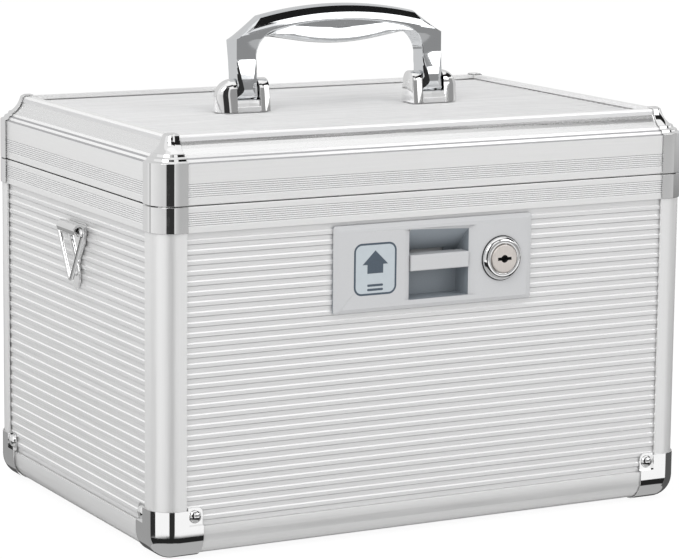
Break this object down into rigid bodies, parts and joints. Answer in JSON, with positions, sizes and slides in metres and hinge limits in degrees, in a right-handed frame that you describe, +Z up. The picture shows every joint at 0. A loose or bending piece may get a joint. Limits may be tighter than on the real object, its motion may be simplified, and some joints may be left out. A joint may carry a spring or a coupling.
{
  "type": "locking medicine case",
  "caption": "Locking medicine case with ridged aluminium panels in a metal frame, chromed corners, hinged lid, folding handle, push-up latch with key lock, strap clips and tray.",
  "frame": {"origin": "on the floor, under the middle of the case", "axes": "+Z up, +X to the right along the front, +Y towards the back; the lock is on the -Y side"},
  "size_m": [0.3328, 0.23, 0.2737],
  "materials": {
    "ridged_sheet": "satin ridged sheet",
    "board": "matt",
    "frame_aluminium": "satin anodised",
    "chrome": "polished",
    "handle_chrome": "chromed plastic, polished",
    "lock_plastic": "satin",
    "nickel": "satin nickel",
    "steel": "zinc plated",
    "tray_plastic": "satin moulded"
  },
  "bodies": {
    "case": {"panel_front": "ridged_sheet", "panel_rear": "ridged_sheet", "panel_left": "ridged_sheet", "panel_right": "ridged_sheet", "panel_floor": "board", "post_front_left": "frame_aluminium", "post_front_right": "frame_aluminium", "post_rear_left": "frame_aluminium", "post_rear_right": "frame_aluminium", "bottom_rail_front": "frame_aluminium", "bottom_rail_rear": "frame_aluminium", "bottom_rail_left": "frame_aluminium", "bottom_rail_right": "frame_aluminium", "base_rim_front": "frame_aluminium", "base_rim_rear": "frame_aluminium", "base_rim_left": "frame_aluminium", "base_rim_right": "frame_aluminium", "rim_corner_front_left": "chrome", "rim_corner_front_right": "chrome", "rim_corner_rear_left": "chrome", "rim_corner_rear_right": "chrome", "foot_cap_front_left": "chrome", "foot_cap_front_right": "chrome", "foot_cap_rear_left": "chrome", "foot_cap_rear_right": "chrome", "lock_housing": "lock_plastic", "lock_cover": "board", "lock_barrel": "chrome", "lock_nut": "steel", "latch_spring": "steel", "strap_plate_left": "chrome", "strap_plate_right": "chrome", "hinge_base_leaf_left": "steel", "hinge_base_leaf_right": "steel"},
    "lid": {"panel_lid": "ridged_sheet", "lid_rim_front": "frame_aluminium", "lid_rim_rear": "frame_aluminium", "lid_rim_left": "frame_aluminium", "lid_rim_right": "frame_aluminium", "lid_corner_front_left": "chrome", "lid_corner_front_right": "chrome", "lid_corner_rear_left": "chrome", "lid_corner_rear_right": "chrome", "striker": "steel", "handle_bracket_left": "chrome", "handle_bracket_right": "chrome", "handle_pin_left": "chrome", "handle_pin_right": "chrome", "hinge_lid_leaf_left": "steel", "hinge_lid_leaf_right": "steel", "hinge_pin_left": "steel", "hinge_pin_right": "steel"},
    "handle": {"handle": "handle_chrome"},
    "latch": {"latch_slider": "lock_plastic"},
    "bolt": {"latch_bolt": "steel"},
    "key_plug": {"lock_plug": "nickel", "lock_cam": "steel"},
    "strap_ring_left": {"strap_ring_left": "chrome"},
    "strap_ring_right": {"strap_ring_right": "chrome"},
    "tray": {"tray": "tray_plastic"}
  },
  "joints": [
    {"name": "lid_hinge", "type": "hinge", "parent": "case", "child": "lid", "pos_m": [0, 0.11265, 0.184], "axis": [-1, 0, 0], "range_deg": [0, 100]},
    {"name": "handle_fold", "type": "hinge", "parent": "lid", "child": "handle", "pos_m": [0, 0, 0.2285], "axis": [1, 0, 0], "range_deg": [-88, 100]},
    {"name": "latch_slide", "type": "slide", "parent": "case", "child": "latch", "axis": [0, 0, 1], "range_m": [0, 0.005], "stiffness_N_per_m": 400, "springref_m": -0.005, "deforming": ["latch_spring"]},
    {"name": "bolt_slide", "type": "slide", "parent": "case", "child": "bolt", "axis": [0, 1, 0], "range_m": [0, 0.005]},
    {"name": "key_turn", "type": "hinge", "parent": "case", "child": "key_plug", "pos_m": [0.0406, -0.1, 0.145], "axis": [0, 1, 0], "range_deg": [0, 90]},
    {"name": "strap_ring_left_swing", "type": "hinge", "parent": "case", "child": "strap_ring_left", "pos_m": [-0.163, -0.005, 0.1593], "axis": [0, 1, 0], "range_deg": [-3, 150]},
    {"name": "strap_ring_right_swing", "type": "hinge", "parent": "case", "child": "strap_ring_right", "pos_m": [0.163, -0.005, 0.1593], "axis": [0, -1, 0], "range_deg": [-3, 150]},
    {"name": "tray_lift", "type": "slide", "parent": "case", "child": "tray", "axis": [0, 0, 1], "range_m": [0, 0.018]}
  ],
  "couplings": [
    {"joint": "bolt_slide", "follows": "latch_slide", "ratio": 1}
  ]
}
